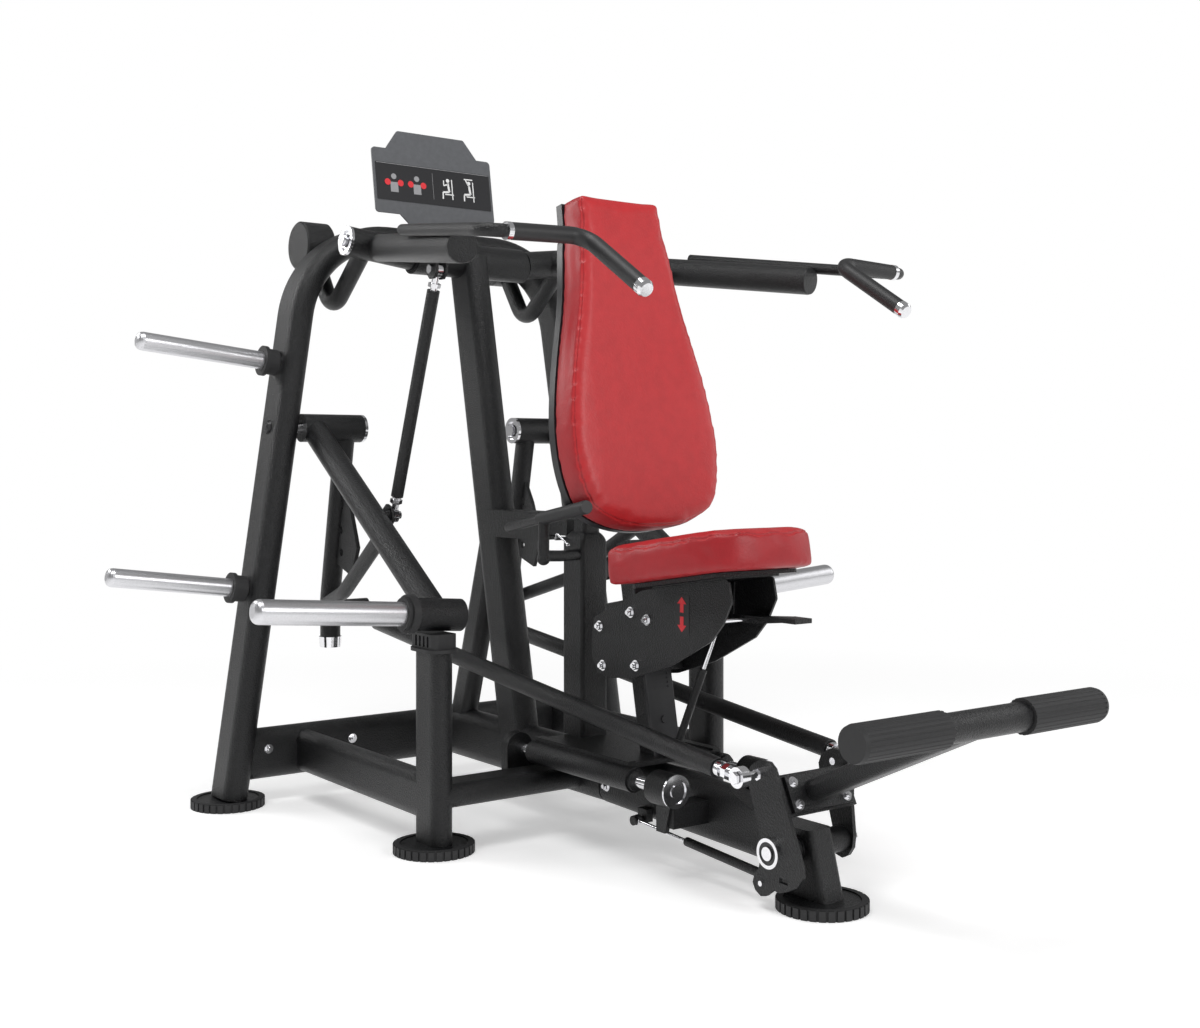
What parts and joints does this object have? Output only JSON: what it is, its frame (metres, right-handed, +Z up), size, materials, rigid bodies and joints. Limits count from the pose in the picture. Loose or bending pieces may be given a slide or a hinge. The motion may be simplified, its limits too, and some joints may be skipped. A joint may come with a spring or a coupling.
{
  "type": "shoulder press machine",
  "caption": "Plate-loaded shoulder press with converging press arms, twin weight levers, foot-assist lever, sliding seat carriage and height-adjustable padded seat.",
  "frame": {"origin": "centre of the front foot on the floor", "axes": "+Z up, the machine faces -Y, +X is the user's left"},
  "size_m": [1.6926, 1.975, 1.6524],
  "materials": {
    "black_frame": "textured powder coat, charcoal black",
    "chrome": "bright plated",
    "brushed_steel": "turned and brushed",
    "rubber": "moulded matt rubber",
    "plastic": "moulded plastic",
    "upholstery": "red embossed leatherette",
    "panel": "smooth grey coat",
    "display": "printed film"
  },
  "bodies": {
    "frame": {"rubber_feet": "rubber", "welded_brackets": "black_frame", "portal_tubes": "black_frame", "rear_beam": "black_frame", "side_posts": "black_frame", "base_rails": "black_frame", "stop_caps": "rubber", "spine_rear": "black_frame", "spine_front": "black_frame", "front_column": "black_frame", "plastic_plugs": "plastic", "a_frame": "black_frame", "press_cross_tube": "black_frame", "pivot_axles": "chrome", "storage_horns": "brushed_steel", "storage_horn_collars": "rubber", "frame_bolts": "chrome", "guide_shafts": "chrome", "shaft_brackets": "black_frame", "placard_plate": "panel", "placard_panel": "display"},
    "carriage": {"carriage_sleeves": "black_frame", "carriage_deck": "black_frame", "back_post": "black_frame", "seat_guide_post": "black_frame", "guide_cover": "plastic", "back_cushion": "upholstery", "back_shell": "plastic", "side_handle": "black_frame", "side_handle_grip": "rubber"},
    "hitch_pin": {"hitch_pin": "chrome"},
    "seat": {"seat_plates": "black_frame", "seat_slider": "black_frame", "seat_cushion": "upholstery", "seat_bolts": "chrome"},
    "paddle": {"release_paddle": "black_frame"},
    "seat_spring": {"seat_spring_cylinder": "black_frame"},
    "seat_spring_rod": {"seat_spring_rod": "chrome"},
    "press_arm_right": {"press_arm_right": "black_frame", "press_fittings_right": "chrome", "handle_grip_right": "rubber"},
    "press_arm_left": {"press_arm_left": "black_frame", "press_fittings_left": "chrome", "handle_grip_left": "rubber"},
    "link_right": {"connecting_rod_right": "black_frame"},
    "link_left": {"connecting_rod_left": "black_frame"},
    "lever_right": {"weight_lever_right": "black_frame", "lever_fittings_right": "chrome", "weight_horn_right": "brushed_steel"},
    "lever_left": {"weight_lever_left": "black_frame", "lever_fittings_left": "chrome", "weight_horn_left": "brushed_steel"},
    "foot_lever": {"crank_plates": "black_frame", "foot_lever_arm": "black_frame", "crank_fittings": "chrome", "foot_roller_sleeves": "rubber"},
    "assist_rods": {"assist_rods": "black_frame", "assist_rod_ends": "chrome"},
    "foot_spring": {"foot_spring_rod": "chrome"},
    "foot_spring_cylinder": {"foot_spring_cylinder": "black_frame"}
  },
  "joints": [
    {"name": "press_right", "type": "hinge", "parent": "frame", "child": "press_arm_right", "pos_m": [-0.24933, 1.231, 1.31897], "axis": [-0.9925, 0, 0.1219], "range_deg": [0, 40]},
    {"name": "press_left", "type": "hinge", "parent": "frame", "child": "press_arm_left", "pos_m": [0.24933, 1.231, 1.31897], "axis": [-0.9925, 0, -0.1219], "range_deg": [0, 40]},
    {"name": "link_right_top", "type": "hinge", "parent": "press_arm_right", "child": "link_right", "pos_m": [-0.305, 0.859, 1.225], "axis": [-0.9956, -0.0719, 0.0604], "range_deg": [-33, 1]},
    {"name": "link_left_top", "type": "hinge", "parent": "press_arm_left", "child": "link_left", "pos_m": [0.305, 0.859, 1.225], "axis": [-0.9956, 0.0719, -0.0604], "range_deg": [-33, 1]},
    {"name": "lever_right_pivot", "type": "hinge", "parent": "frame", "child": "lever_right", "pos_m": [-0.306, 1.371, 0.89], "axis": [-1, 0, 0], "range_deg": [0, 40]},
    {"name": "lever_left_pivot", "type": "hinge", "parent": "frame", "child": "lever_left", "pos_m": [0.306, 1.371, 0.89], "axis": [-1, 0, 0], "range_deg": [0, 40]},
    {"name": "carriage_slide", "type": "slide", "parent": "frame", "child": "carriage", "axis": [0, 1, 0], "range_m": [-0.04, 0.04]},
    {"name": "seat_height", "type": "slide", "parent": "carriage", "child": "seat", "axis": [0, 0.1891, 0.982], "range_m": [-0.04, 0.09]},
    {"name": "seat_spring_swing", "type": "hinge", "parent": "carriage", "child": "seat_spring", "pos_m": [0, 0.418, 0.221], "axis": [1, 0, 0], "range_deg": [-9, 4.5]},
    {"name": "seat_spring_stroke", "type": "slide", "parent": "seat_spring", "child": "seat_spring_rod", "axis": [0, -0.4436, 0.8962], "range_m": [-0.034, 0.076]},
    {"name": "seat_release", "type": "hinge", "parent": "seat", "child": "paddle", "pos_m": [0.036, 0.24, 0.503], "axis": [-1, 0, 0], "range_deg": [0, 10]},
    {"name": "hitch_pin_pull", "type": "slide", "parent": "carriage", "child": "hitch_pin", "axis": [-1, 0, 0], "range_m": [0, 0.03]},
    {"name": "foot_press", "type": "hinge", "parent": "frame", "child": "foot_lever", "pos_m": [0, 0.037, 0.107], "axis": [1, 0, 0], "range_deg": [0, 28]},
    {"name": "assist_rod_front", "type": "hinge", "parent": "foot_lever", "child": "assist_rods", "pos_m": [0, 0.061, 0.246], "axis": [1, 0, 0], "range_deg": [-29, 1]},
    {"name": "foot_spring_swing", "type": "hinge", "parent": "frame", "child": "foot_spring", "pos_m": [-0.06, 0.471, 0.076], "axis": [1, 0, 0], "range_deg": [-3, 1]},
    {"name": "foot_spring_stroke", "type": "slide", "parent": "foot_spring", "child": "foot_spring_cylinder", "axis": [0, 0.9977, 0.0678], "range_m": [0, 0.027]}
  ],
  "couplings": [
    {"joint": "link_right_top", "follows": "press_right", "ratio": -0.7986},
    {"joint": "link_left_top", "follows": "press_left", "ratio": -0.7986},
    {"joint": "lever_right_pivot", "follows": "press_right", "ratio": 0.9763},
    {"joint": "lever_left_pivot", "follows": "press_left", "ratio": 0.9763},
    {"joint": "seat_spring_swing", "follows": "seat_height", "rad_per_m": -1.632},
    {"joint": "seat_spring_stroke", "follows": "seat_height", "ratio": 0.82},
    {"joint": "assist_rod_front", "follows": "foot_press", "ratio": -1},
    {"joint": "foot_spring_swing", "follows": "foot_press", "ratio": -0.075},
    {"joint": "foot_spring_stroke", "follows": "foot_press", "m_per_rad": 0.0544}
  ]
}
